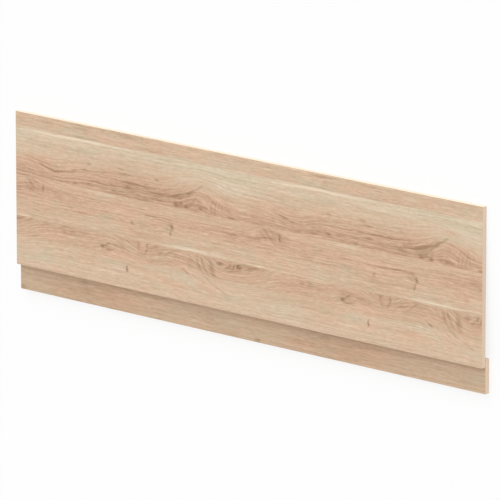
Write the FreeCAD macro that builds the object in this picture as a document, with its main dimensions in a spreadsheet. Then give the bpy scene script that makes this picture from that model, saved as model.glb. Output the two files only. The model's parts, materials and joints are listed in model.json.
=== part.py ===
"""Two-piece bath panel: a wood-faced front panel with a set-back plinth screwed behind its lower edge.

The panel lies face up on the floor, as it would if it were put down. It rests on the plinth's back and on its
own top edge, so it leans by the angle that the plinth's thickness gives. Before that lean, X runs along the
panel, Y from the plinth's foot to the panel's top edge, and Z out of the wood face.
Lengths are in millimetres and angles in degrees.
"""

import FreeCAD
import Part
import Sketcher
import os

# name, value and meaning of each driving size
SIZES = (
    ("panel_length", 1700, "length of the panel and of the plinth"),
    ("panel_height", 440, "front panel, lower edge to top edge"),
    ("panel_thickness", 16, "board of the front panel"),
    ("plinth_height", 96, "plinth, foot to top edge"),
    ("plinth_thickness", 16, "board of the plinth"),
    ("plinth_overlap", 22, "how far the plinth reaches up behind the panel"),
    ("edge_radius", 0.8, "rounding of every board edge"),
    ("screw_count", 5, "screws that hold the plinth to the panel"),
    ("screw_end_inset", 100, "first screw, from the end of the boards"),
    ("screw_diameter", 4, "outside of the screw's thread"),
    ("screw_head_diameter", 8, "countersunk head, at its top"),
    ("countersink_angle", 90, "cone of the head and of its seat, side to side"),
    ("screw_point_length", 4, "tapered point of the screw"),
    ("recess_span", 3.8, "cross recess, tip to tip"),
    ("recess_width", 1.1, "each arm of the cross recess"),
    ("recess_depth", 1.5, "cross recess, below the head's top"),
    ("plinth_hole_clearance", 0.25, "radial, round the screw in the plinth"),
    ("pilot_clearance", 0.1, "radial, round the screw in the panel"),
    ("seat_clearance", 0.15, "radial, round the head in its countersink"),
    ("head_setback", 0.3, "head's top below the back of the plinth"),
    ("point_clearance", 1, "end of the pilot hole past the screw's point"),
    ("pilot_cover", 6, "board left between the pilot hole and the wood face"),
)

# The cross recess is two slots at right angles
RECESS_SLOTS = 2
RECESS_TURN = 90

# Two faces meet at a corner if the cosine between their normals is below this, and else lie in one plane
CORNER_COSINE = 0.5

# Sizes that follow from the driving ones, written as expressions of the sheet
LEAN = "atan(sizes.plinth_thickness / (sizes.panel_height - sizes.plinth_overlap))"
PANEL_FOOT = "(sizes.plinth_height - sizes.plinth_overlap)"
WHOLE_HEIGHT = f"({PANEL_FOOT} + sizes.panel_height)"
SCREW_LINE = "(sizes.plinth_height - sizes.plinth_overlap / 2)"
SCREW_SPAN = "(sizes.panel_length - 2 * sizes.screw_end_inset)"
SCREW_SPACING = f"({SCREW_SPAN} / (sizes.screw_count - 1))"
FIRST_SCREW = "(sizes.screw_end_inset - sizes.panel_length / 2)"
PILOT_DEPTH = "(sizes.panel_thickness - sizes.pilot_cover)"
SCREW_LENGTH = f"(sizes.plinth_thickness + {PILOT_DEPTH} - sizes.point_clearance - sizes.head_setback)"
CONE_SLOPE = "tan(sizes.countersink_angle / 2)"
HEAD_DEPTH = f"((sizes.screw_head_diameter - sizes.screw_diameter) / 2 / {CONE_SLOPE})"
SEAT_MARGIN = f"(sizes.seat_clearance + sizes.head_setback * {CONE_SLOPE})"
SEAT_DIAMETER = f"(sizes.screw_head_diameter + 2 * {SEAT_MARGIN})"

# How far the leaning panel is moved so that it stands on the floor with the origin under its middle
TO_MIDDLE = (
    f"({WHOLE_HEIGHT} * cos({LEAN})"
    f" + (sizes.panel_thickness - sizes.plinth_thickness) * sin({LEAN})) / 2"
)
TO_FLOOR = f"({WHOLE_HEIGHT} * sin({LEAN}) - sizes.edge_radius * (sin({LEAN}) + cos({LEAN}) - 1))"


def make_sheet(doc):
    """The sheet of driving sizes, one alias for each."""
    sheet = doc.addObject("Spreadsheet::Sheet", "sizes")
    for row, (name, value, meaning) in enumerate(SIZES, start=1):
        sheet.set(f"A{row}", name)
        sheet.set(f"B{row}", str(value))
        sheet.set(f"C{row}", meaning)
        sheet.setAlias(f"B{row}", name)
    doc.recompute()
    return sheet


def add_sketch(body, name, plane_role):
    """An empty sketch on one of the body's own origin planes."""
    plane = next(f for f in body.Origin.OriginFeatures if f.Role == plane_role)
    sketch = body.newObject("Sketcher::SketchObject", name)
    sketch.AttachmentSupport = [(plane, "")]
    sketch.MapMode = "FlatFace"
    return sketch


def add_outline(sketch, corners):
    """A closed outline through the corners, whose level and upright lines stay so.

    The corners only say how the outline goes round. The sizes added to it then give its real shape.
    """
    points = [FreeCAD.Vector(u, v, 0) for u, v in corners]
    count = len(points)
    for i, start in enumerate(points):
        end = points[(i + 1) % count]
        sketch.addGeometry(Part.LineSegment(start, end), False)
        if start.y == end.y:
            sketch.addConstraint(Sketcher.Constraint("Horizontal", i))
        elif start.x == end.x:
            sketch.addConstraint(Sketcher.Constraint("Vertical", i))
    for i in range(count):
        sketch.addConstraint(Sketcher.Constraint("Coincident", i, 2, (i + 1) % count, 1))


def pin_to_origin(sketch, line):
    """Holds the start of a line at the sketch's origin."""
    sketch.addConstraint(Sketcher.Constraint("Coincident", line, 1, -1, 1))


def add_size(sketch, kind, line, value, expression, start=1, end_line=None, end=2):
    """A distance between two points of the outline, bound to the sheet."""
    last = line if end_line is None else end_line
    index = sketch.addConstraint(Sketcher.Constraint(kind, line, start, last, end, value))
    sketch.setExpression(f"Constraints[{index}]", expression)


def board_from_section(body, section):
    """The board whose cross-section is the sketch, as long as the panel and centred on it."""
    board = body.newObject("PartDesign::Pad", f"{body.Name}_board")
    board.Profile = section
    board.SideType = "Symmetric"
    board.Refine = False
    board.setExpression("Length", "sizes.panel_length")
    return board


def corner_edges(shape):
    """The names of the edges where two faces meet at an angle, without the seams inside a flat side."""
    names = []
    for number, edge in enumerate(shape.Edges, start=1):
        first, second = (face.normalAt(0, 0) for face in shape.ancestorsOfType(edge, Part.Face))
        if abs(first.dot(second)) < CORNER_COSINE:
            names.append(f"Edge{number}")
    return names


def round_corners(body, base):
    """Rounds every corner edge of a board."""
    base.Document.recompute()
    rounding = body.newObject("PartDesign::Fillet", f"{body.Name}_rounding")
    rounding.Base = (base, corner_edges(base.Shape))
    rounding.Refine = False
    rounding.setExpression("Radius", "sizes.edge_radius")
    base.Document.recompute()
    return rounding


def repeat_along(body, feature):
    """Repeats a hole at every screw."""
    row = body.newObject("PartDesign::LinearPattern", f"{body.Name}_hole_row")
    row.Originals = [feature]
    row.Direction = (feature.Profile[0], ["H_Axis"])
    row.Mode = "Extent"
    row.Refine = False
    row.setExpression("Length", SCREW_SPAN)
    row.setExpression("Occurrences", "sizes.screw_count")
    body.Tip = row
    return row


def add_screw_mark(body, name, up, radius):
    """A circle where the first screw goes through a board. The sheet gives its real place and size."""
    sketch = add_sketch(body, name, "XY_Plane")
    sketch.addGeometry(Part.Circle(FreeCAD.Vector(-1, 1, 0), FreeCAD.Vector(0, 0, 1), 1), False)
    for kind, point, expression in (("DistanceX", -1, FIRST_SCREW), ("DistanceY", 1, up)):
        index = sketch.addConstraint(Sketcher.Constraint(kind, -1, 1, 0, 3, point))
        sketch.setExpression(f"Constraints[{index}]", expression)
    index = sketch.addConstraint(Sketcher.Constraint("Radius", 0, 1))
    sketch.setExpression(f"Constraints[{index}]", radius)
    return sketch


def lay_down(body, along, up, out):
    """Puts a body's own origin at a place of the unleaned panel, then leans it with the whole."""
    body.Placement = FreeCAD.Placement(FreeCAD.Vector(), FreeCAD.Rotation(FreeCAD.Vector(-1, 0, 0), 1))
    body.setExpression("Placement.Rotation.Angle", LEAN)
    body.setExpression("Placement.Base.x", along)
    body.setExpression("Placement.Base.y", f"{up} * cos({LEAN}) + {out} * sin({LEAN}) - {TO_MIDDLE}")
    body.setExpression("Placement.Base.z", f"{out} * cos({LEAN}) - {up} * sin({LEAN}) + {TO_FLOOR}")


def make_front_panel(doc):
    """The front panel. Its origin is the middle of its lower back edge.

    Its back is two lands in one plane: the strip that the plinth covers, and the rest, which faces the bath.
    """
    body = doc.addObject("PartDesign::Body", "front_panel")
    section = add_sketch(body, "front_panel_section", "YZ_Plane")
    add_outline(section, ((0, 0), (1, 0), (3, 0), (3, 1), (0, 1)))
    pin_to_origin(section, 0)
    add_size(section, "DistanceX", 0, 1, "sizes.plinth_overlap")
    add_size(section, "DistanceX", 0, 3, "sizes.panel_height", end_line=1)
    add_size(section, "DistanceY", 2, 1, "sizes.panel_thickness")
    round_corners(body, board_from_section(body, section))

    mark = add_screw_mark(
        body, "pilot_mark", "sizes.plinth_overlap / 2", "sizes.screw_diameter / 2 + sizes.pilot_clearance"
    )
    pilot = body.newObject("PartDesign::Pocket", "pilot_hole")
    pilot.Profile = mark
    pilot.Reversed = True
    pilot.Refine = False
    pilot.setExpression("Length", PILOT_DEPTH)
    doc.recompute()
    repeat_along(body, pilot)
    lay_down(body, "0", PANEL_FOOT, "0")
    return body


def make_plinth(doc):
    """The plinth, its screw holes countersunk at the back. Its origin is the middle of its foot, in front."""
    body = doc.addObject("PartDesign::Body", "plinth")
    section = add_sketch(body, "plinth_section", "YZ_Plane")
    add_outline(section, ((0, 0), (3, 0), (3, -1), (0, -1)))
    pin_to_origin(section, 0)
    add_size(section, "DistanceX", 0, 3, "sizes.plinth_height")
    add_size(section, "DistanceY", 1, -1, "-sizes.plinth_thickness")
    round_corners(body, board_from_section(body, section))

    mark = add_screw_mark(
        body, "screw_mark", SCREW_LINE, "sizes.screw_diameter / 2 + sizes.plinth_hole_clearance"
    )
    mark.setExpression("AttachmentOffset.Base.z", "-sizes.plinth_thickness")
    doc.recompute()
    hole = body.newObject("PartDesign::Hole", "screw_hole")
    hole.Profile = mark
    hole.Reversed = True
    hole.Refine = False
    hole.Threaded = False
    hole.DepthType = "ThroughAll"
    hole.HoleCutType = "Countersink"
    hole.HoleCutCustomValues = True
    hole.setExpression("Diameter", "sizes.screw_diameter + 2 * sizes.plinth_hole_clearance")
    hole.setExpression("HoleCutDiameter", SEAT_DIAMETER)
    hole.setExpression("HoleCutCountersinkAngle", "sizes.countersink_angle")
    doc.recompute()
    repeat_along(body, hole)
    lay_down(body, "0", "0", "0")
    return body


def make_screw(doc, number):
    """One countersunk wood screw. Its origin is the middle of its head's top, with its point towards +Z."""
    body = doc.addObject("PartDesign::Body", f"plinth_screw_{number + 1}")
    profile = add_sketch(body, f"{body.Name}_profile", "XZ_Plane")
    add_outline(profile, ((0, 0), (4, 0), (2, 2), (2, 9), (0, 12)))
    pin_to_origin(profile, 0)
    add_size(profile, "DistanceX", 0, 4, "sizes.screw_head_diameter / 2")
    add_size(profile, "DistanceX", 4, 2, "sizes.screw_diameter / 2", start=2, end_line=1)
    add_size(profile, "DistanceY", 1, 2, HEAD_DEPTH)
    add_size(profile, "DistanceY", 4, 12, SCREW_LENGTH, start=2, end_line=3)
    add_size(profile, "DistanceY", 3, 3, "sizes.screw_point_length")
    turned = body.newObject("PartDesign::Revolution", f"{body.Name}_turned")
    turned.Profile = profile
    turned.ReferenceAxis = (profile, ["V_Axis"])
    doc.recompute()

    arm = add_sketch(body, f"{body.Name}_arm", "XY_Plane")
    add_outline(arm, ((-2, -1), (2, -1), (2, 1), (-2, 1)))
    arm.addConstraint(Sketcher.Constraint("Symmetric", 0, 1, 1, 2, -1, 1))
    add_size(arm, "DistanceX", 0, 4, "sizes.recess_span")
    add_size(arm, "DistanceY", 1, 2, "sizes.recess_width")
    slot = body.newObject("PartDesign::Pocket", f"{body.Name}_slot")
    slot.Profile = arm
    slot.Reversed = True
    slot.setExpression("Length", "sizes.recess_depth")
    doc.recompute()
    cross = body.newObject("PartDesign::PolarPattern", f"{body.Name}_cross")
    cross.Originals = [slot]
    cross.Axis = (arm, ["N_Axis"])
    cross.Mode = "Spacing"
    cross.Offset = RECESS_TURN
    cross.Occurrences = RECESS_SLOTS
    body.Tip = cross
    lay_down(
        body,
        f"{FIRST_SCREW} + {number} * {SCREW_SPACING}",
        SCREW_LINE,
        "(sizes.head_setback - sizes.plinth_thickness)",
    )
    return body


def check_objects(doc, bodies):
    """Stops unless every object was built and every body is one valid solid."""
    for thing in doc.Objects:
        if {"Invalid", "Error"} & set(thing.State):
            raise RuntimeError(f"{thing.Label} failed: {thing.State}")
    for body in bodies:
        if body.Shape.isNull() or not body.Shape.isValid() or len(body.Shape.Solids) != 1:
            raise RuntimeError(f"{body.Label} is not one valid solid")


def check_holes(body, holed):
    """Stops unless the holes took material off the board."""
    before = holed.BaseFeature.Shape.Volume
    if not holed.Shape.Volume < before:
        raise RuntimeError(f"the holes of {body.Label} cut nothing")


def main():
    doc = FreeCAD.newDocument("bath_panel")
    sheet = make_sheet(doc)
    bodies = [make_front_panel(doc), make_plinth(doc)]
    for number in range(int(sheet.screw_count)):
        bodies.append(make_screw(doc, number))
    doc.recompute()
    check_objects(doc, bodies)
    for body in bodies:
        check_holes(body, body.Tip)
    os.makedirs("parts", exist_ok=True)
    for body in bodies:
        body.Shape.exportStep(f"parts/{body.Label}.step")
        box = body.Shape.BoundBox
        print(f"{body.Label}: {body.Shape.Volume:.1f} mm3, from {box.ZMin:.3f} to {box.ZMax:.3f} mm up")


main()
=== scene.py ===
"""Dresses the two-piece bath panel: printed oak and edging on both boards, screws, and a white studio."""

import json
import math
from typing import NamedTuple

import bmesh
import bpy
from bpy.props import FloatProperty, FloatVectorProperty, PointerProperty
from mathutils import Matrix, Vector


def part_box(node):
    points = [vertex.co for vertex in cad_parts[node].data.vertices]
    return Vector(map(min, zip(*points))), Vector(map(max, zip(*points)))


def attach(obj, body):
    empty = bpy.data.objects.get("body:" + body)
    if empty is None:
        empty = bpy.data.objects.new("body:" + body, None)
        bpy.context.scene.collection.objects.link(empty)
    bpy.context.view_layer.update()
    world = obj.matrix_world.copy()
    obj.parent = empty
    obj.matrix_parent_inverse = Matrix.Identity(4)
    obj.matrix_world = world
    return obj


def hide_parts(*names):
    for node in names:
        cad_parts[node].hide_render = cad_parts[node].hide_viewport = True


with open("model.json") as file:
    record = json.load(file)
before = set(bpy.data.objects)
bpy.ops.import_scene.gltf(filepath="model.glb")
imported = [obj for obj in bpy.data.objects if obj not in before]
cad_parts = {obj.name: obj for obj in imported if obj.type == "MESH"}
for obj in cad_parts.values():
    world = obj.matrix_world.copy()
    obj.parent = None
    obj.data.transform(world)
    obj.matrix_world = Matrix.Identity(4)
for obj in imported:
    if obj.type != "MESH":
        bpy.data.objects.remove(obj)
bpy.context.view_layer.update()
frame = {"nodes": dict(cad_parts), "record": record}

bl_info = {
    "name": "Bath panel finish",
    "version": (1, 0, 0),
    "blender": (4, 5, 0),
    "location": "3D View > Sidebar > Bath panel",
    "description": "Oak decor, edging, screws and a plain studio for a two-piece bath panel",
    "category": "Material",
}

MILLIMETRE = 0.001

# The panel's own directions, as it leans on its plinth: along it, up its face and out of its face
MOUNT_AXES = {mount["name"]: Vector(mount["axis"]) for mount in frame["record"]["mounts"]}
ALONG = Vector((1, 0, 0))
UP = -MOUNT_AXES["plinth_foot"]
OUT = -MOUNT_AXES["panel_back"]
LEAN = math.atan2(OUT.y, OUT.z)


class Board(NamedTuple):
    """A board of the panel: the upper left corner of its face, and its size in metres."""

    corner: Vector
    length: float
    height: float
    thickness: float


def measure_board(node):
    """The board that a node holds, from its box and the panel's lean."""
    low, high = (Vector(corner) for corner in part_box(node))
    span = high - low
    squareness = UP.y**2 - OUT.y**2
    height = (span.y * UP.y - span.z * OUT.y) / squareness
    thickness = (span.z * UP.y - span.y * OUT.y) / squareness
    corner = (low + high) / 2 - ALONG * span.x / 2 + UP * height / 2 + OUT * thickness / 2
    return Board(corner, span.x, height, thickness)


PANEL = measure_board("front_panel")
PLINTH = measure_board("plinth")


class Mark(NamedTuple):
    """A soft oval mark of the print: its middle and size in millimetres, its tone and warmth, and its slant.

    A mark with a positive slant, in degrees, falls to the right.
    """

    along: float
    down: float
    length: float
    width: float
    paler: float
    warmer: float = 0.0
    slant: float = 0.0


class Bend(NamedTuple):
    """A place where the grain lines are pushed down the face, as round a knot, in millimetres."""

    along: float
    down: float
    length: float
    width: float
    push: float


class Fade(NamedTuple):
    """A change of tone on the way down the face, and how wide it is in millimetres."""

    down: float
    width: float
    paler: float
    warmer: float


class Strip(NamedTuple):
    """One plank of the print: where it starts, its first tone and warmth, and what shows in it."""

    top: float
    tone: float
    warmth: float
    fades: tuple = ()
    bends: tuple = ()
    streaks: tuple = ()
    knots: tuple = ()


# The panel's print, one plank below the other. Streaks follow the bent grain, and knots stay where they are.
PANEL_STRIPS = (
    Strip(
        top=0,
        tone=187,
        warmth=28,
        streaks=(
            Mark(110, 15, 220, 12, -12, 2),
            Mark(155, 8, 70, 11, -9),
            Mark(275, 8, 60, 10, -9),
            Mark(247, 10, 90, 16, -26),
            Mark(425, 8, 110, 11, -12, 1),
            Mark(215, 30, 180, 26, 3, -9),
            Mark(255, 40, 150, 9, -11, -9),
            Mark(360, 30, 220, 30, 0, 5),
            Mark(505, 33, 160, 22, -3, 5),
            Mark(660, 24, 200, 36, 0, 4),
            Mark(620, 40, 120, 12, 2, -8),
            Mark(800, 30, 220, 24, 2, -6),
        ),
        knots=(Mark(267, 24, 26, 24, -12, 6),),
    ),
    Strip(
        top=42,
        tone=196,
        warmth=22,
        fades=(Fade(72, 44, -5, 5), Fade(112, 44, -12, 7), Fade(148, 40, -6, 2)),
        bends=(Bend(690, 122, 80, 46, -34), Bend(150, 145, 70, 30, 16)),
        streaks=(
            Mark(265, 47, 440, 13, 28, -2),
            Mark(110, 51, 260, 20, 9, -2),
            Mark(660, 62, 580, 60, 0, -5),
            Mark(770, 50, 260, 14, 12, -3),
            Mark(830, 70, 320, 80, 0, -6),
            Mark(800, 112, 380, 100, 8, -8),
            Mark(255, 75, 180, 22, -7, -7),
            Mark(100, 98, 240, 30, 0, -3),
            Mark(415, 117, 80, 9, -18),
            Mark(60, 140, 200, 100, 2, 5),
            Mark(275, 164, 240, 26, -3, 4),
            Mark(350, 157, 300, 18, -11, 3),
            Mark(425, 138, 320, 12, -17, 2),
            Mark(500, 139, 200, 9, -18),
            Mark(470, 168, 440, 28, -8, -2),
            Mark(500, 152, 320, 50, -9, 1),
            Mark(842, 142, 100, 60, 8),
            Mark(860, 170, 180, 32, 2, 5),
        ),
        knots=(
            Mark(100, 137, 56, 8, -20, -2, 23),
            Mark(127, 145, 70, 9, -30, -2, 12),
            Mark(152, 151, 34, 7, -18),
            Mark(178, 146, 70, 7, -15, 2, -6),
            Mark(215, 139, 74, 8, -20, 4, -15),
            Mark(262, 128, 60, 8, -18, 2, -4),
            Mark(310, 126, 120, 8, -16, 1, -6),
            Mark(152, 163, 36, 7, -13),
            Mark(168, 171, 34, 7, -7),
            Mark(225, 171, 22, 14, -18),
            Mark(278, 164, 28, 8, -18),
            Mark(372, 170, 24, 14, -18),
            Mark(400, 119, 130, 8, -14, 1, -4),
            Mark(565, 151, 170, 18, -24, 2, -3),
            Mark(622, 141, 120, 14, -37, -2, -15),
            Mark(664, 126, 60, 11, -32, -4, -24),
            Mark(690, 111, 44, 9, -26, -4, -30),
            Mark(280, 107, 28, 14, -26, -2),
            Mark(398, 105, 38, 9, -22, -2),
            Mark(535, 113, 26, 11, -22),
            Mark(425, 151, 46, 14, -26),
            Mark(535, 166, 48, 18, -20, -2),
            Mark(645, 160, 150, 60, -9, 1),
            Mark(377, 146, 90, 16, -7),
            Mark(665, 148, 120, 44, -2, -2),
            Mark(606, 169, 30, 20, -36, -2),
            Mark(623, 165, 22, 15, -36, -2),
            Mark(642, 171, 22, 15, -40, -3),
            Mark(697, 170, 22, 13, -28, -2),
            Mark(814, 177, 34, 12, -34, -3),
            Mark(730, 155, 220, 90, -2, 6),
            Mark(732, 142, 40, 7, 10, 0, -62),
            Mark(727, 163, 34, 7, 12, 0, 84),
            Mark(742, 145, 42, 8, -11, 0, -66),
            Mark(737, 165, 36, 8, -14, 0, 86),
            Mark(753, 149, 46, 7, -11, 0, -74),
            Mark(749, 169, 30, 8, -14, 0, 88),
            Mark(758, 157, 42, 6, 9, 0, -78),
            Mark(765, 148, 46, 7, -11, 0, -78),
            Mark(761, 168, 34, 8, -14, 0, 90),
            Mark(775, 157, 54, 8, -12, 0, 94),
            Mark(788, 153, 42, 9, -10, 0, 98),
            Mark(40, 180, 150, 70, -9, 1),
            Mark(714, 91, 100, 24, -12, 5),
            Mark(625, 131, 60, 14, -10),
        ),
    ),
    Strip(
        top=180,
        tone=184,
        warmth=32,
        fades=(Fade(202, 20, -3, 2), Fade(250, 50, 4, -3), Fade(282, 24, 0, -2)),
        bends=(Bend(60, 190, 60, 34, -12), Bend(560, 238, 40, 20, -8)),
        streaks=(
            Mark(330, 184, 220, 14, 15, -7),
            Mark(640, 194, 340, 14, 6, -3),
            Mark(160, 192, 260, 26, 3, 5),
            Mark(115, 208, 250, 22, -8, 6),
            Mark(20, 215, 180, 34, 1, 5),
            Mark(430, 215, 200, 28, 3, 7),
            Mark(530, 221, 240, 8, -26, -2),
            Mark(850, 212, 480, 70, -6, 4),
            Mark(840, 222, 420, 11, -18, 3),
            Mark(247, 216, 90, 16, -9),
            Mark(240, 250, 160, 13, -10, 6),
            Mark(435, 266, 70, 30, -9),
            Mark(749, 263, 100, 22, -9),
            Mark(340, 250, 110, 26, -7, -10),
            Mark(90, 262, 220, 26, 2, 3),
            Mark(280, 276, 420, 44, 2, -5),
            Mark(650, 277, 280, 42, 1, -5),
            Mark(860, 270, 200, 40, 2, -6),
            Mark(470, 275, 120, 26, -9, 4),
            Mark(690, 291, 460, 12, 24, -7),
            Mark(640, 292, 220, 8, 14, -3),
            Mark(30, 294, 80, 9, 28, -7),
        ),
        knots=(
            Mark(104, 205, 30, 10, -38, 0, 90),
            Mark(60, 196, 140, 60, -7),
            Mark(56, 196, 66, 10, -20, -2, 43),
            Mark(73, 190, 52, 9, -16, -2, 40),
            Mark(40, 203, 50, 9, -14, -2, 40),
            Mark(706, 184, 80, 12, -11),
            Mark(529, 193, 70, 15, -9),
            Mark(837, 230, 130, 16, -9),
            Mark(592, 237, 28, 14, -46, -3, 80),
            Mark(585, 256, 38, 10, -34, -3, 105),
            Mark(441, 248, 20, 16, -34),
            Mark(575, 238, 40, 50, -5, -4),
            Mark(515, 220, 90, 8, -18, 0, 3),
            Mark(562, 224, 70, 8, -16),
            Mark(583, 231, 30, 8, -18, 0, 50),
        ),
    ),
    Strip(
        top=298,
        tone=177,
        warmth=33,
        fades=(Fade(352, 60, 12, -4), Fade(405, 30, 1, -1)),
        bends=(
            Bend(484, 300, 58, 40, 30),
            Bend(830, 305, 120, 76, 56),
            Bend(768, 300, 56, 52, 26),
            Bend(327, 334, 22, 12, -10),
        ),
        streaks=(
            Mark(150, 332, 190, 80, 1, 5),
            Mark(400, 344, 190, 44, 5, 7),
            Mark(280, 317, 260, 20, -1, 3),
            Mark(560, 312, 300, 40, -4),
            Mark(110, 378, 220, 36, 1, -10),
            Mark(220, 381, 280, 9, -14, 2),
            Mark(120, 406, 300, 48, 2, -9),
            Mark(370, 378, 120, 34, 1, -9),
            Mark(345, 402, 110, 11, 18, -2),
            Mark(560, 366, 240, 28, 4, -9),
            Mark(640, 375, 120, 44, 4, -8),
            Mark(580, 392, 220, 22, -2, 6),
        ),
        knots=(
            Mark(330, 335, 22, 19, -44, -3),
            Mark(346, 325, 50, 10, -30, -2, -30),
            Mark(354, 341, 56, 8, -28, -2, -8),
            Mark(388, 323, 100, 10, -19, 0, 2),
            Mark(345, 335, 84, 36, -10, -1),
            Mark(420, 328, 76, 30, -11),
            Mark(464, 336, 60, 14, -8),
            Mark(264, 378, 100, 12, -9),
            Mark(113, 361, 200, 40, 0, -4),
            Mark(731, 304, 50, 14, -8),
            Mark(22, 332, 150, 22, 7),
            Mark(97, 326, 90, 18, 6),
            Mark(440, 301, 60, 16, -8),
            Mark(422, 384, 24, 11, -66, 0, 90),
            Mark(465, 305, 28, 15, -24, -1, 72),
            Mark(466, 321, 28, 9, -14, 0, 65),
            Mark(498, 307, 30, 12, -24, -2, 85),
            Mark(494, 322, 30, 12, -22, -2, 115),
            Mark(480, 332, 44, 11, -18),
            Mark(586, 308, 46, 10, -26, 0, -20),
            Mark(547, 319, 50, 9, -15, 0, -20),
            Mark(514, 330, 50, 9, -15, 0, -20),
            Mark(566, 322, 40, 7, -18, 0, -20),
            Mark(640, 352, 40, 8, -20, 0, 25),
            Mark(682, 318, 46, 8, -18, 0, 80),
            Mark(692, 330, 44, 8, -16, 0, 68),
            Mark(699, 313, 40, 8, -20, 0, 78),
            Mark(709, 326, 52, 8, -16, 0, 72),
            Mark(697, 344, 22, 9, 14, 0, 40),
            Mark(650, 330, 56, 8, -8, 0, 42),
            Mark(664, 316, 44, 8, -14, 0, 50),
            Mark(793, 317, 40, 9, -22, -1, -40),
            Mark(806, 310, 24, 9, -24, -1, -62),
            Mark(818, 314, 32, 9, -26, -1, -55),
            Mark(832, 309, 26, 9, -24, -1, -60),
            Mark(812, 305, 20, 7, 14, 0, -60),
            Mark(826, 308, 20, 7, 12, 0, -58),
            Mark(482, 313, 34, 36, 3, 6),
            Mark(687, 318, 54, 7, -24, -1, 80),
            Mark(699, 344, 42, 7, -18, -1, 55),
            Mark(724, 364, 60, 8, -30, -1, 33),
            Mark(768, 385, 84, 8, -24, -1, 22),
            Mark(702, 312, 50, 6, -20, -1, 72),
            Mark(716, 338, 44, 6, -20, -1, 55),
            Mark(700, 368, 60, 6, -16, -1, 33),
            Mark(640, 353, 44, 7, -20, -1, 25),
            Mark(739, 331, 62, 28, -34, 0, 70),
            Mark(768, 311, 36, 15, -46, -3),
            Mark(838, 310, 26, 18, -46, -3),
            Mark(812, 315, 90, 40, -14, -1),
            Mark(872, 305, 150, 22, -26, -1),
            Mark(875, 326, 160, 14, -3, 2),
            Mark(830, 342, 220, 50, -2, 2),
            Mark(215, 312, 32, 22, -17, -9),
            Mark(183, 300, 46, 12, -26),
            Mark(185, 315, 24, 16, -18),
            Mark(642, 335, 90, 44, 5, 3),
            Mark(830, 402, 220, 44, 3, -8),
            Mark(860, 362, 180, 24, 2, -7),
        ),
    ),
)

# The plinth's print, its tone a few levels darker all over than the panel's: partly the board's own tone and
# partly painted shade of its recess under the panel
PLINTH_STRIPS = (
    Strip(
        top=0,
        # Darker tone: partly the board's own, partly painted shade of the recess under the panel
        tone=174,
        warmth=28,
        streaks=(
            Mark(280, 60, 380, 150, -6, 3),
            Mark(415, 60, 320, 90, -4, 6),
            Mark(160, 72, 160, 40, -1, 5),
            Mark(250, 40, 60, 20, -12, -2),
            Mark(60, 70, 180, 40, 3, -4),
            Mark(790, 58, 150, 46, 2, -8),
            Mark(640, 80, 260, 30, 3),
            Mark(540, 66, 200, 16, -4),
            Mark(330, 50, 90, 12, -8),
        ),
        knots=(Mark(10, 90, 34, 22, -24), Mark(352, 84, 60, 14, -8, 6)),
    ),
)


class Grain(NamedTuple):
    """Noise drawn out along the grain: its size in millimetres, its seed, and what it does to the print.

    The plain strength, in levels of tone, counts all over. The figured one is added where the print is dark.
    The relief is its share of the emboss, and the matting is what it adds to the roughness.
    """

    length: float
    width: float
    seed: float
    plain: float = 0.0
    figured: float = 0.0
    detail: float = 3.0
    roughness: float = 0.6
    relief: float = 0.0
    matting: float = 0.0


# The grain of the print, from broad to fine, and the blush that makes patches warmer or greyer
GROWTH_LINES = Grain(300, 6, 1, plain=60, figured=50)
FINE_LINES = Grain(46, 3.2, 25, plain=46, figured=44, detail=1.5)
MOTTLE = Grain(18, 5, 5, plain=44, figured=20, relief=0.5, matting=0.1)
FIBRE = Grain(30, 1.2, 9, plain=30, relief=0.5)
PORES = Grain(9, 0.5, 13, plain=-24, detail=1.0, relief=-0.8, matting=0.12)
BLUSH = Grain(64, 28, 21, plain=21, detail=1.0)

# Slow noise that carries the lines of the grain off their straight way
WANDER = Grain(260, 60, 3, detail=2.0, roughness=0.5)
RIPPLE = Grain(40, 12, 7, detail=2.0, roughness=0.5)

# How far that noise carries the lines down the face, and the knots and streaks along it, in millimetres
WANDER_DOWN = 14
RIPPLE_DOWN = 5
KNOT_RIPPLE = 8
STREAK_RIPPLE = 40

# The tone below which the grain is figured, and how many levels further down it is so in full
FIGURE_TONE = 188
FIGURE_FALL = 18

# Where the peaks of their noise start to be pores, and how steeply they get dark
PORE_START = 0.12
PORE_RISE = 9.0

# Tones of the four colours of each ramp, and the warmth of the grey ramp and of the warm one
RAMP_TONES = (112, 152, 187, 218)
GREY_WARMTH = 18
WARM_WARMTH = 36

# Room between two planks of the print, so that a mark of one doesn't reach into the next, in millimetres
LANE = 1000

# How far along the print the boards' backs are from their faces, in millimetres
BACK_SHIFT = 331

# Streaks of the edging tape and chips of the core: their size along, down and into the board, in millimetres
TAPE_STREAK = (300, 300, 1.3)
CHIP = (1.5, 1.5, 0.7)

# How far the edging tape goes from the print's plain colour to its own on the boards' ends, how much further
# on their long edges as painted highlight, which makes the top edge look more brightly lit, and how its
# streaks vary that
END_PALENESS = 0.5
LONG_EDGE_PAINTED_HIGHLIGHT = 0.5
TAPE_CONTRAST = 1.6

# Between the faces, what is this near the board's outline is its edge, and the rest a hole, in millimetres
RIM = 1.0

# Flat sides of a screw's round parts, and the angle in degrees over which its edges look sharp
SCREW_SIDES = 28
SHARP_EDGE = 30

# A screw's thread: its root in the core's radius, its width in pitches, and the share of the point left bare
THREAD_ROOT = 0.97
THREAD_WIDTH = 0.4
BARE_POINT = 0.3

# The plating's clouds to the metre, its roughness where it shines, and what a cloud adds to that
CLOUDS = 900
ZINC_ROUGHNESS = 0.25
CLOUD_ROUGHNESS = 0.2

# The width of the camera's sensor in millimetres, and the rays that see the plain white of floor and sky
SENSOR = 36
SEEN_RAYS = ("Is Camera Ray", "Is Glossy Ray", "Is Transmission Ray")
WHITE = (1, 1, 1)


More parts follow.
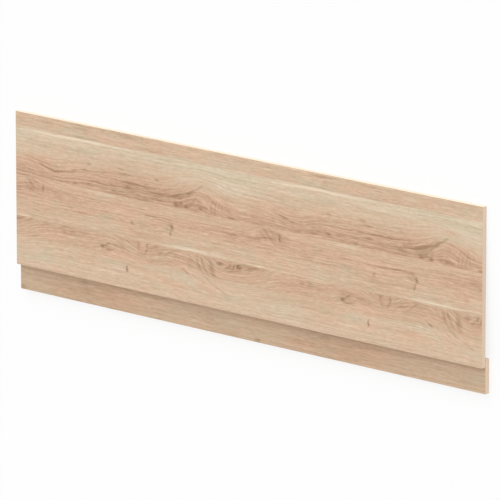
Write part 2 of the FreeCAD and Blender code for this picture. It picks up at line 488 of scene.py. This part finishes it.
def linear(*levels):
    """Colour levels from 0 to 255, as they look on a screen, as the numbers that a shader takes."""
    parts = (level / 255 for level in levels)
    return tuple(p / 12.92 if p <= 0.04045 else ((p + 0.055) / 1.055) ** 2.4 for p in parts)


def tint(name, description, *levels):
    """A colour that a user can change."""
    return FloatVectorProperty(
        name=name, description=description, subtype="COLOR", size=3, min=0, max=1, default=linear(*levels)
    )


def size(name, description, metres):
    """A length that a user can change."""
    return FloatProperty(name=name, description=description, unit="LENGTH", min=0, default=metres)


def number(name, description, default, **limits):
    """A plain number that a user can change."""
    return FloatProperty(name=name, description=description, default=default, **limits)


def angle(name, description, degrees):
    """An angle that a user can change."""
    return FloatProperty(name=name, description=description, subtype="ANGLE", default=math.radians(degrees))


class DecorSettings(bpy.types.PropertyGroup):
    """The oak print on the boards' faces and edges."""

    warm_dark: tint("Warm dark", "Eyes of knots, where the oak is warm", 141, 105, 77)
    warm_brown: tint("Warm brown", "Lines of the figure, where the oak is warm", 182, 145, 117)
    warm_plain: tint("Warm plain", "Most of the print, where the oak is warm", 217, 180, 152)
    warm_pale: tint("Warm pale", "The palest streaks, where the oak is warm", 242, 210, 183)
    grey_dark: tint("Grey dark", "Eyes of knots, where the oak is grey", 129, 111, 82)
    grey_brown: tint("Grey brown", "Lines of the figure, where the oak is grey", 170, 152, 122)
    grey_plain: tint("Grey plain", "Most of the print, where the oak is grey", 205, 186, 157)
    grey_pale: tint("Grey pale", "The palest streaks, where the oak is grey", 234, 216, 191)
    # The edging's cream is partly the tape's own colour and partly painted highlight of the lit top edge
    edging: tint("Edging", "Tape on the boards' edges", 243, 226, 203)
    core_pale: tint("Core pale", "Pale chips of the board's core, in its drilled holes", 205, 172, 128)
    core_dark: tint("Core dark", "Dark chips of the board's core, in its drilled holes", 132, 98, 62)
    repeat: size("Repeat", "Length after which the print starts again", 0.882)
    edging_joint: size("Edging joint", "How far the faces reach round the edge", 0.0006)
    panel_contrast: number("Panel contrast", "Strength of the grain on the front panel", 0.86, min=0)
    plinth_contrast: number("Plinth contrast", "Strength of the grain on the plinth", 0.5, min=0)
    roughness: number("Roughness", "Roughness of the sealed print", 0.5, min=0, max=1)
    sheen: number("Sheen", "How strongly the sealed print mirrors", 0.25, min=0, max=1)
    emboss: size("Emboss", "Depth of the pressed grain", 0.00006)
    emboss_strength: number("Emboss strength", "How plainly the pressed grain shows", 0.35, min=0, max=1)


class ScrewSettings(bpy.types.PropertyGroup):
    """The countersunk screws that hold the plinth to the panel."""

    thread_diameter: size("Thread diameter", "Over the thread, and of the plain shank", 0.0039)
    core_diameter: size("Core diameter", "Under the thread", 0.0027)
    pitch: size("Pitch", "From one turn of the thread to the next", 0.0018)
    shank_length: size("Shank length", "Plain part below the head", 0.004)
    point_length: size("Point length", "Tapered end", 0.004)
    rim: size("Rim", "Thickness of the head's edge", 0.0002)
    recess_span: size("Recess span", "Width of the cross in the head", 0.0038)
    recess_width: size("Recess width", "Width of one arm of the cross", 0.0011)
    recess_depth: size("Recess depth", "Depth of the cross", 0.0014)
    recess_taper: number("Recess taper", "Size of the cross at its bottom", 0.6, min=0.1, max=1)
    bright_zinc: tint("Bright zinc", "Plating where it shines", 200, 198, 190)
    dull_zinc: tint("Dull zinc", "Plating where it is cloudy", 152, 150, 142)


class StageSettings(bpy.types.PropertyGroup):
    """The studio, and the camera's place in front of the panel's face."""

    yaw: angle("Yaw", "Camera to the right of the face's middle", 41.8616)
    pitch: angle("Pitch", "Camera above the face's middle", 14.0596)
    distance: size("Distance", "From the camera to the face", 18.7411)
    aim_along: size("Aim along", "Right of the panel's middle", 0.0281)
    aim_up: size("Aim up", "Above the panel's lower edge", 0.18636)
    lens: number("Lens", "Focal length in millimetres on a 36 mm sensor", 496.89, min=1)
    sky: number("Sky", "Light from all round", 0.75, min=0)
    lamp: number("Lamp", "Light of the soft lamp", 1.35, min=0)
    lamp_height: angle("Lamp height", "Of the soft lamp above the floor", 32)
    lamp_turn: angle("Lamp turn", "Of the soft lamp, from the panel's top edge to its right end", 4)
    lamp_spread: angle("Lamp spread", "Width of the soft lamp as the panel sees it", 60)
    floor_size: size("Floor size", "Side of the floor", 60)
    floor_white: number("Floor white", "How much of the floor's look is plain white", 0.78, min=0, max=1)
    floor: tint("Floor", "Floor's own colour", 252, 252, 252)


class Value:
    """A number that varies over a surface. Arithmetic on it adds Math nodes to its node tree."""

    def __init__(self, wiring, socket):
        self.wiring = wiring
        self.socket = socket

    def __add__(self, other):
        return self.wiring.math("ADD", self, other)

    def __radd__(self, other):
        return self.wiring.math("ADD", other, self)

    def __sub__(self, other):
        return self.wiring.math("SUBTRACT", self, other)

    def __rsub__(self, other):
        return self.wiring.math("SUBTRACT", other, self)

    def __mul__(self, other):
        return self.wiring.math("MULTIPLY", self, other)

    def __rmul__(self, other):
        return self.wiring.math("MULTIPLY", other, self)

    def __truediv__(self, other):
        return self.wiring.math("DIVIDE", self, other)

    def __rtruediv__(self, other):
        return self.wiring.math("DIVIDE", other, self)

    def __mod__(self, period):
        return self.wiring.math("FLOORED_MODULO", self, period)

    def __rmod__(self, other):
        return self.wiring.math("FLOORED_MODULO", other, self)

    def __gt__(self, other):
        return self.wiring.math("GREATER_THAN", self, other)

    def __lt__(self, other):
        return self.wiring.math("LESS_THAN", self, other)

    def __neg__(self):
        return self.wiring.math("MULTIPLY", self, -1.0)

    def times_plus(self, factor, term):
        return self.wiring.math("MULTIPLY_ADD", self, factor, term)

    def exponential(self):
        return self.wiring.math("EXPONENT", self)

    def clamped(self):
        return self.wiring.math("ADD", self, 0.0, clamp=True)


class Wiring:
    """A node tree in the making. One method adds any node."""

    def __init__(self, owner):
        owner.use_nodes = True
        self.tree = owner.node_tree
        self.tree.nodes.clear()

    def node(self, kind, settings=None, inputs=None, output=0):
        """Adds a node, with its settings first and then the values or links of its sockets."""
        node = self.tree.nodes.new(kind)
        for name, setting in (settings or {}).items():
            if name == "stops":
                self.set_stops(node.color_ramp, setting)
            else:
                setattr(node, name, setting)
        for key, value in (inputs or {}).items():
            socket = node.inputs[key]
            if isinstance(value, Value):
                self.tree.links.new(value.socket, socket)
            elif socket.type == "RGBA":
                socket.default_value = (*value, 1.0)
            else:
                socket.default_value = value
        return Value(self, node.outputs[output]) if node.outputs else None

    def set_stops(self, ramp, stops):
        """Gives a colour ramp its stops, each a place and a colour."""
        while len(ramp.elements) < len(stops):
            ramp.elements.new(1.0)
        for element, (place, colour) in zip(ramp.elements, stops):
            element.position = place
            element.color = (*colour, 1.0)

    def math(self, operation, *numbers, clamp=False):
        settings = {"operation": operation, "use_clamp": clamp}
        return self.node("ShaderNodeMath", settings, dict(enumerate(numbers)))

    def mix(self, factor, first, second):
        """One colour going over into another."""
        return self.node("ShaderNodeMix", {"data_type": "RGBA"}, {0: factor, 6: first, 7: second}, output=2)

    def vector(self, x, y, z=0.0):
        return self.node("ShaderNodeCombineXYZ", None, {0: x, 1: y, 2: z})

    def dot(self, first, second):
        settings = {"operation": "DOT_PRODUCT"}
        return self.node("ShaderNodeVectorMath", settings, {0: first, 1: second}, output=1)

    def noise(self, vector, detail, roughness):
        """Even noise from 0 to 1, about one cell to each unit of the vector."""
        inputs = {"Vector": vector, "Scale": 1.0, "Detail": detail, "Roughness": roughness}
        return self.node("ShaderNodeTexNoise", {"noise_dimensions": "3D"}, inputs)

    def measured_from(self, vector, corner, unit, turn):
        """The vector measured from a corner, in units of its own along turned axes."""
        inputs = {"Vector": vector, "Location": corner, "Rotation": turn, "Scale": unit}
        return self.node("ShaderNodeMapping", {"vector_type": "TEXTURE"}, inputs)

    def show(self, kind, shader):
        """Ends the tree with what the owner looks like."""
        self.node(kind, None, {"Surface": shader})


class OakPrint:
    """The oak print of one board, worked out from the place on the board."""

    def __init__(self, name, board, strips, contrast, decor):
        self.board = board
        self.strips = strips
        self.contrast = contrast
        self.decor = decor
        self.repeat = decor.repeat / MILLIMETRE
        self.thickness = board.thickness / MILLIMETRE
        self.material = bpy.data.materials.new(name)
        self.wiring = Wiring(self.material)

    def build(self):
        """The finished material, with what the faces, the edges and the drilled holes show."""
        self.measure()
        self.bend_grain()
        self.lay_planks()
        self.lay_marks()
        self.draw_grain()
        face = self.face_colour()
        edge = self.edge()
        off_ends = self.off_ends()
        colour = self.wiring.mix(edge, face, self.tape_colour(off_ends))
        colour = self.wiring.mix(self.hole(edge * off_ends), colour, self.core_colour())
        self.seal(colour, edge)
        return self.material

    def measure(self):
        """Where the point is: along and down the board, and how deep behind the face, in millimetres."""
        w = self.wiring
        point = w.node("ShaderNodeTexCoord", output="Object")
        spot = w.measured_from(point, self.board.corner, (MILLIMETRE,) * 3, (-LEAN, 0, 0))
        self.along, up, out = (w.node("ShaderNodeSeparateXYZ", None, {0: spot}, output=i) for i in range(3))
        self.depth = -out
        self.down = -up
        self.print_along = self.along + (self.depth > self.thickness / 2) * BACK_SHIFT
        self.below = [self.down > strip.top for strip in self.strips[1:]]
        self.lane = self.down
        for below in self.below:
            self.lane = below.times_plus(LANE, self.lane)

    def streaky(self, grain, level):
        """Noise drawn out along the grain, about nought."""
        vector = self.wiring.vector(self.print_along / grain.length, level / grain.width, grain.seed)
        return self.wiring.noise(vector, grain.detail, grain.roughness) - 0.5

    def bend_grain(self):
        """Finds the level of the bent grain at the point, and the places that knots and streaks go by."""
        w = self.wiring
        wander = self.streaky(WANDER, self.lane)
        ripple = self.streaky(RIPPLE, self.lane)
        wrapped = self.print_along % self.repeat
        self.knot_place = w.vector(wrapped + ripple * KNOT_RIPPLE, self.lane + ripple * RIPPLE_DOWN)
        self.level = self.lane + wander * WANDER_DOWN + ripple * RIPPLE_DOWN - self.push(self.knot_place)
        self.streak_place = w.vector(wrapped + ripple * STREAK_RIPPLE, self.level)

    def turns(self, mark, reach):
        """Where a mark shows along the print: its own place, and again where it crosses the repeat's ends."""
        places = (mark.along + turn * self.repeat for turn in (-1, 0, 1))
        return [along for along in places if -reach < along < self.repeat + reach]

    def push(self, place):
        """How far the bends push the grain down the face."""
        w = self.wiring
        total = 0.0
        for plank, strip in enumerate(self.strips):
            for bend in strip.bends:
                for along in self.turns(bend, 2 * bend.length):
                    centre = (along, bend.down + plank * LANE, 0)
                    spot = w.measured_from(place, centre, (bend.length, bend.width, 1), (0, 0, 0))
                    total = (-w.dot(spot, spot)).exponential().times_plus(bend.push, total)
        return total

    def add(self, amount, paler, warmer):
        """Adds some of a tone and a warmth to what is there."""
        if paler:
            self.tone = amount.times_plus(paler, self.tone)
        if warmer:
            self.warmth = amount.times_plus(warmer, self.warmth)

    def lay_planks(self):
        """Starts with each plank's own tone and warmth, and its fades."""
        tone, warmth = self.strips[0].tone, self.strips[0].warmth
        self.tone, self.warmth = tone, warmth
        for strip, below in zip(self.strips, [None, *self.below]):
            if below is not None:
                self.add(below, strip.tone - tone, strip.warmth - warmth)
            tone, warmth = strip.tone, strip.warmth
            for fade in strip.fades:
                limits = {0: self.down, 1: fade.down - fade.width / 2, 2: fade.down + fade.width / 2}
                passed = self.wiring.node("ShaderNodeMapRange", {"interpolation_type": "SMOOTHSTEP"}, limits)
                self.add(passed, fade.paler, fade.warmer)
                tone += fade.paler
                warmth += fade.warmer

    def lay_marks(self):
        """Adds the streaks along the bent grain, and the knots where they are."""
        for plank, strip in enumerate(self.strips):
            self.spread(strip.streaks, plank * LANE, self.streak_place)
            self.spread(strip.knots, plank * LANE, self.knot_place)

    def spread(self, marks, lane, place):
        """Adds soft oval marks to the tone and the warmth."""
        w = self.wiring
        for mark in marks:
            half, turn = (mark.length / 2, mark.width / 2, 1), (0, 0, math.radians(mark.slant))
            for along in self.turns(mark, mark.length / 2):
                spot = w.measured_from(place, (along, mark.down + lane, 0), half, turn)
                oval = w.node("ShaderNodeTexGradient", {"gradient_type": "SPHERICAL"}, {0: spot}, output=1)
                self.add(oval, mark.paler, mark.warmer)

    def draw_grain(self):
        """Adds the grain to the tone, more strongly where the print is dark, and the blush to the warmth."""
        figure = ((FIGURE_TONE - self.tone) / FIGURE_FALL).clamped()
        self.mottle, self.fibre = self.streaky(MOTTLE, self.level), self.streaky(FIBRE, self.level)
        self.pores = ((self.streaky(PORES, self.level) - PORE_START) * PORE_RISE).clamped()
        drawn = self.fibre * FIBRE.plain + self.pores * PORES.plain
        drawn = drawn + self.mottle * (figure * MOTTLE.figured + MOTTLE.plain)
        for grain in (GROWTH_LINES, FINE_LINES):
            drawn = drawn + self.streaky(grain, self.level) * (figure * grain.figured + grain.plain)
        self.tone = drawn * self.contrast + self.tone
        self.warmth = self.warmth + self.streaky(BLUSH, self.level) * (BLUSH.plain * self.contrast)

    def ramp(self, fraction, *colours):
        """A colour for each tone."""
        low, high = RAMP_TONES[0], RAMP_TONES[-1]
        stops = [((tone - low) / (high - low), colour) for tone, colour in zip(RAMP_TONES, colours)]
        return self.wiring.node("ShaderNodeValToRGB", {"stops": stops}, {0: fraction})

    def face_colour(self):
        """The print, from its tone and its warmth."""
        decor = self.decor
        fraction = (self.tone - RAMP_TONES[0]) / (RAMP_TONES[-1] - RAMP_TONES[0])
        warm = self.ramp(fraction, decor.warm_dark, decor.warm_brown, decor.warm_plain, decor.warm_pale)
        grey = self.ramp(fraction, decor.grey_dark, decor.grey_brown, decor.grey_plain, decor.grey_pale)
        warmth = ((self.warmth - GREY_WARMTH) / (WARM_WARMTH - GREY_WARMTH)).clamped()
        return self.wiring.mix(warmth, grey, warm)

    def edge(self):
        """One between the two faces, on the edges and in the holes, and nought on the faces."""
        joint = self.decor.edging_joint / MILLIMETRE
        return (self.depth > joint) * (self.depth < self.thickness - joint)

    def off_ends(self):
        """Nought on the board's two ends, and one everywhere else."""
        return (self.along > RIM) * (self.along < self.board.length / MILLIMETRE - RIM)

    def hole(self, inside):
        """One on the walls of the drilled holes, from what is between the faces and not on the ends."""
        return inside * (self.down > RIM) * (self.down < self.board.height / MILLIMETRE - RIM)

    def scaled(self, cell):
        """The place on the board in cells of a size along, down and into it."""
        along, down, deep = cell
        return self.wiring.vector(self.along / along, self.down / down, self.depth / deep)

    def tape_colour(self, off_ends):
        """The edging tape, with faint streaks, and paler on the long edges as painted highlight."""
        streak = self.wiring.noise(self.scaled(TAPE_STREAK), detail=3.0, roughness=0.6) - 0.5
        # Long edges paler than the ends: painted highlight of the lit top edge, on top of the tape's own
        # streaks
        tape_paleness_and_highlight = (streak * TAPE_CONTRAST + off_ends * LONG_EDGE_PAINTED_HIGHLIGHT + END_PALENESS).clamped()
        return self.wiring.mix(tape_paleness_and_highlight, self.decor.warm_plain, self.decor.edging)

    def core_colour(self):
        """The chips of the board's core."""
        chips = self.wiring.noise(self.scaled(CHIP), detail=2.0, roughness=0.7)
        return self.wiring.mix(chips, self.decor.core_dark, self.decor.core_pale)

    def seal(self, colour, edge):
        """Presses the grain into the faces and seals the surface."""
        w = self.wiring
        relief = self.mottle * MOTTLE.relief + self.fibre * FIBRE.relief + self.pores * PORES.relief
        inputs = {
            "Strength": self.decor.emboss_strength,
            "Distance": self.decor.emboss,
            "Height": relief * (1.0 - edge),
        }
        bump = w.node("ShaderNodeBump", None, inputs)
        inputs = {
            "Base Color": colour,
            "Roughness": self.pores * PORES.matting + self.mottle * MOTTLE.matting + self.decor.roughness,
            "Normal": bump,
            "Specular IOR Level": self.decor.sheen,
        }
        w.show("ShaderNodeOutputMaterial", w.node("ShaderNodeBsdfPrincipled", None, inputs))


def dress(node, material):
    """Gives a CAD node's object one material."""
    slots = frame["nodes"][node].data.materials
    slots.clear()
    slots.append(material)


class BATHPANEL_OT_face_panel(bpy.types.Operator):
    """Print the front panel's board with oak"""

    bl_idname = "bathpanel.face_panel"
    bl_label = "Face the front panel"

    def execute(self, context):
        decor = context.scene.bath_panel_decor
        oak = OakPrint("panel_oak_print", PANEL, PANEL_STRIPS, decor.panel_contrast, decor)
        dress("front_panel", oak.build())
        return {"FINISHED"}


class BATHPANEL_OT_face_plinth(bpy.types.Operator):
    """Print the plinth's board with oak, cut from another part of the sheet and set darker, partly as painted
    shade
    """

    bl_idname = "bathpanel.face_plinth"
    bl_label = "Face the plinth"

    def execute(self, context):
        decor = context.scene.bath_panel_decor
        oak = OakPrint("plinth_oak_print", PLINTH, PLINTH_STRIPS, decor.plinth_contrast, decor)
        dress("plinth", oak.build())
        return {"FINISHED"}


class BATHPANEL_OT_cut_screws(bpy.types.Operator):
    """Cut each screw's thread and cross recess, and plate it with zinc"""

    bl_idname = "bathpanel.cut_screws"
    bl_label = "Cut the screws"

    def execute(self, context):
        screw = context.scene.bath_panel_screws
        nodes = [name for name in frame["nodes"] if name.startswith("plinth_screw")]
        if not nodes:
            raise RuntimeError("The part has no plinth screws")
        plating = self.plate(screw)
        for node in nodes:
            piece = self.cut(context, node, screw)
            piece.data.materials.append(plating)
            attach(piece, "root")
            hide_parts(node)
        return {"FINISHED"}

    def plate(self, screw):
        """Zinc with faint clouds."""
        material = bpy.data.materials.new("zinc_plating")
        w = Wiring(material)
        point = w.node("ShaderNodeTexCoord", output="Object")
        spot = w.node("ShaderNodeMapping", None, {"Vector": point, "Scale": (CLOUDS,) * 3})
        cloud = w.noise(spot, detail=3.0, roughness=0.5)
        inputs = {
            "Base Color": w.mix(cloud, screw.bright_zinc, screw.dull_zinc),
            "Metallic": 1.0,
            "Roughness": cloud * CLOUD_ROUGHNESS + ZINC_ROUGHNESS,
        }
        w.show("ShaderNodeOutputMaterial", w.node("ShaderNodeBsdfPrincipled", None, inputs))
        return material

    def cut(self, context, node, screw):
        """A screw with its head at nought and its point up, put where its node is."""
        low, high = (Vector(corner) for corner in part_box(node))
        head_radius = (high.x - low.x) / 2
        head = Vector(((low.x + high.x) / 2, (low.y + high.y) / 2, low.z + head_radius * OUT.y))
        length = (high.z - head.z) / OUT.z
        neck = screw.rim + head_radius - screw.thread_diameter / 2
        shape = bmesh.new()
        self.sink_recess(shape, screw)
        self.turn_body(shape, screw, head_radius, neck, length)
        self.close_head(shape)
        self.wind_thread(shape, screw, neck, length)
        bmesh.ops.recalc_face_normals(shape, faces=shape.faces)
        place = Matrix.Translation(head) @ Matrix((ALONG, UP, OUT)).transposed().to_4x4()
        bmesh.ops.transform(shape, matrix=place, verts=shape.verts)
        mesh = bpy.data.meshes.new(f"threaded_{node}")
        shape.to_mesh(mesh)
        shape.free()
        mesh.shade_smooth()
        mesh.set_sharp_from_angle(angle=math.radians(SHARP_EDGE))
        piece = bpy.data.objects.new(mesh.name, mesh)
        context.scene.collection.objects.link(piece)
        return piece

    def sink_recess(self, shape, screw):
        """A cross that narrows on its way into the head."""
        bmesh.ops.create_grid(shape, x_segments=1, y_segments=1, size=screw.recess_width / 2)
        reach = (screw.recess_span - screw.recess_width) / 2
        for side in shape.edges[:]:
            outwards = (side.verts[0].co + side.verts[1].co).normalized()
            arm = bmesh.ops.extrude_edge_only(shape, edges=[side])["geom"]
            tips = [part for part in arm if isinstance(part, bmesh.types.BMVert)]
            bmesh.ops.translate(shape, verts=tips, vec=outwards * reach)
        sunk = bmesh.ops.extrude_face_region(shape, geom=shape.faces[:])["geom"]
        bottom = [part for part in sunk if isinstance(part, bmesh.types.BMVert)]
        bmesh.ops.translate(shape, verts=bottom, vec=(0, 0, screw.recess_depth))
        bmesh.ops.scale(shape, verts=bottom, vec=(screw.recess_taper, screw.recess_taper, 1))

    def turn_body(self, shape, screw, head_radius, neck, length):
        """The head, the plain shank, the core of the thread and the point, turned round the screw's axis."""
        shank, core = screw.thread_diameter / 2, screw.core_diameter / 2
        outline = (
            (head_radius, 0),
            (head_radius, screw.rim),
            (shank, neck),
            (shank, neck + screw.shank_length),
            (core, neck + screw.shank_length + shank - core),
            (core, length - screw.point_length),
            (0, length),
        )
        points = [shape.verts.new((radius, 0, height)) for radius, height in outline]
        lines = [shape.edges.new(pair) for pair in zip(points, points[1:])]
        bmesh.ops.spin(
            shape, geom=points + lines, axis=(0, 0, 1), angle=math.tau, steps=SCREW_SIDES, use_merge=True
        )
        bmesh.ops.remove_doubles(shape, verts=shape.verts, dist=MILLIMETRE / 1000)

    def close_head(self, shape):
        """Fills the head's top round the cross."""
        rims = [edge for edge in shape.edges if edge.is_boundary]
        bmesh.ops.triangle_fill(shape, edges=rims, use_beauty=True)

    def wind_thread(self, shape, screw, neck, length):
        """A ridge wound round the core, which runs out to the point."""
        root, crest = screw.core_diameter / 2 * THREAD_ROOT, screw.thread_diameter / 2
        start, width = neck + screw.shank_length, screw.pitch * THREAD_WIDTH
        turns = (length - start - screw.point_length * BARE_POINT) / screw.pitch
        steps = round(turns * SCREW_SIDES)
        section = ((root, start), (crest, start + width / 2), (root, start + width))
        ridge = shape.faces.new([shape.verts.new((radius, 0, height)) for radius, height in section])
        before = set(shape.verts) - set(ridge.verts)
        bmesh.ops.spin(
            shape,
            geom=[ridge, *ridge.edges, *ridge.verts],
            axis=(0, 0, 1),
            dvec=(0, 0, screw.pitch / SCREW_SIDES),
            angle=math.tau * steps / SCREW_SIDES,
            steps=steps,
        )
        for vert in set(shape.verts) - before:
            taper = min(1.0, (length - vert.co.z) / screw.point_length)
            vert.co.x *= taper
            vert.co.y *= taper


class BATHPANEL_OT_build_stage(bpy.types.Operator):
    """Lay the floor, set the light and aim the camera"""

    bl_idname = "bathpanel.build_stage"
    bl_label = "Build the stage"

    def execute(self, context):
        stage = context.scene.bath_panel_stage
        self.lay_floor(context, stage)
        self.light_sky(context, stage)
        self.hang_lamp(context, stage)
        self.aim_camera(context, stage)
        context.scene.view_settings.view_transform = "Standard"
        return {"FINISHED"}

    def seen_rays(self, w):
        """One where a ray comes from the camera, a mirror or a pane, and nought elsewhere."""
        camera, mirror, pane = (w.node("ShaderNodeLightPath", output=name) for name in SEEN_RAYS)
        return (camera + mirror + pane).clamped()

    def lay_floor(self, context, stage):
        """A white floor that keeps some of the panel's shadow."""
        mesh = bpy.data.meshes.new("floor")
        shape = bmesh.new()
        bmesh.ops.create_grid(shape, x_segments=1, y_segments=1, size=stage.floor_size / 2)
        shape.to_mesh(mesh)
        shape.free()
        floor = bpy.data.objects.new("floor", mesh)
        context.scene.collection.objects.link(floor)
        material = bpy.data.materials.new("floor_white")
        w = Wiring(material)
        matt = w.node("ShaderNodeBsdfDiffuse", None, {"Color": stage.floor})
        white = w.node("ShaderNodeEmission", None, {"Color": WHITE, "Strength": 1.0})
        seen = self.seen_rays(w) * stage.floor_white
        w.show("ShaderNodeOutputMaterial", w.node("ShaderNodeMixShader", None, {0: seen, 1: matt, 2: white}))
        mesh.materials.append(material)

    def light_sky(self, context, stage):
        """Even light from all round, which looks plain white."""
        world = bpy.data.worlds.new("studio_sky")
        context.scene.world = world
        w = Wiring(world)
        strength = self.seen_rays(w) * (1.0 - stage.sky) + stage.sky
        sky = w.node("ShaderNodeBackground", None, {"Color": WHITE, "Strength": strength})
        w.show("ShaderNodeOutputWorld", sky)

    def hang_lamp(self, context, stage):
        """A broad soft lamp beyond the panel's top edge."""
        light = bpy.data.lights.new("soft_lamp", "SUN")
        light.energy = stage.lamp
        light.angle = stage.lamp_spread
        lamp = bpy.data.objects.new("soft_lamp", light)
        level = math.cos(stage.lamp_height)
        right, beyond = level * math.sin(stage.lamp_turn), level * math.cos(stage.lamp_turn)
        towards = Vector((right, beyond, math.sin(stage.lamp_height)))
        lamp.matrix_world = towards.to_track_quat("Z", "Y").to_matrix().to_4x4()
        lamp.visible_camera = False
        context.scene.collection.objects.link(lamp)

    def aim_camera(self, context, stage):
        """A camera in front of the face, above it and to its right."""
        right = ALONG * math.cos(stage.yaw) - OUT * math.sin(stage.yaw)
        ahead = -ALONG * math.sin(stage.yaw) - OUT * math.cos(stage.yaw)
        look = ahead * math.cos(stage.pitch) - UP * math.sin(stage.pitch)
        middle = PANEL.corner + ALONG * PANEL.length / 2 - UP * PANEL.height
        aim = middle + ALONG * stage.aim_along + UP * stage.aim_up
        turn = Matrix((right, right.cross(look), -look)).transposed().to_4x4()
        camera = bpy.data.objects.new("camera", bpy.data.cameras.new("camera"))
        camera.data.lens = stage.lens
        camera.data.sensor_width = SENSOR
        camera.matrix_world = Matrix.Translation(aim - look * stage.distance) @ turn
        context.scene.collection.objects.link(camera)
        context.scene.camera = camera


OPERATORS = (
    BATHPANEL_OT_face_panel,
    BATHPANEL_OT_face_plinth,
    BATHPANEL_OT_cut_screws,
    BATHPANEL_OT_build_stage,
)


class BATHPANEL_PT_sidebar(bpy.types.Panel):
    """The bath panel's finishes and stage"""

    bl_idname = "BATHPANEL_PT_sidebar"
    bl_label = "Bath panel"
    bl_space_type = "VIEW_3D"
    bl_region_type = "UI"
    bl_category = "Bath panel"

    def draw(self, context):
        for group in SETTINGS:
            settings = getattr(context.scene, group)
            box = self.layout.box()
            for name in settings.__annotations__:
                box.prop(settings, name)
        for operator in OPERATORS:
            self.layout.operator(operator.bl_idname)


SETTINGS = {
    "bath_panel_decor": DecorSettings,
    "bath_panel_screws": ScrewSettings,
    "bath_panel_stage": StageSettings,
}
CLASSES = (*SETTINGS.values(), *OPERATORS, BATHPANEL_PT_sidebar)


def register():
    """Adds the classes, and their settings to the scene."""
    for cls in CLASSES:
        bpy.utils.register_class(cls)
    for name, group in SETTINGS.items():
        setattr(bpy.types.Scene, name, PointerProperty(type=group))


def unregister():
    """Takes the settings and the classes away again."""
    for name in SETTINGS:
        delattr(bpy.types.Scene, name)
    for cls in reversed(CLASSES):
        bpy.utils.unregister_class(cls)


def main():
    """Runs every operator in order."""
    register()
    bpy.ops.bathpanel.face_panel()
    bpy.ops.bathpanel.face_plinth()
    bpy.ops.bathpanel.cut_screws()
    bpy.ops.bathpanel.build_stage()


if __name__ == "__main__":
    main()
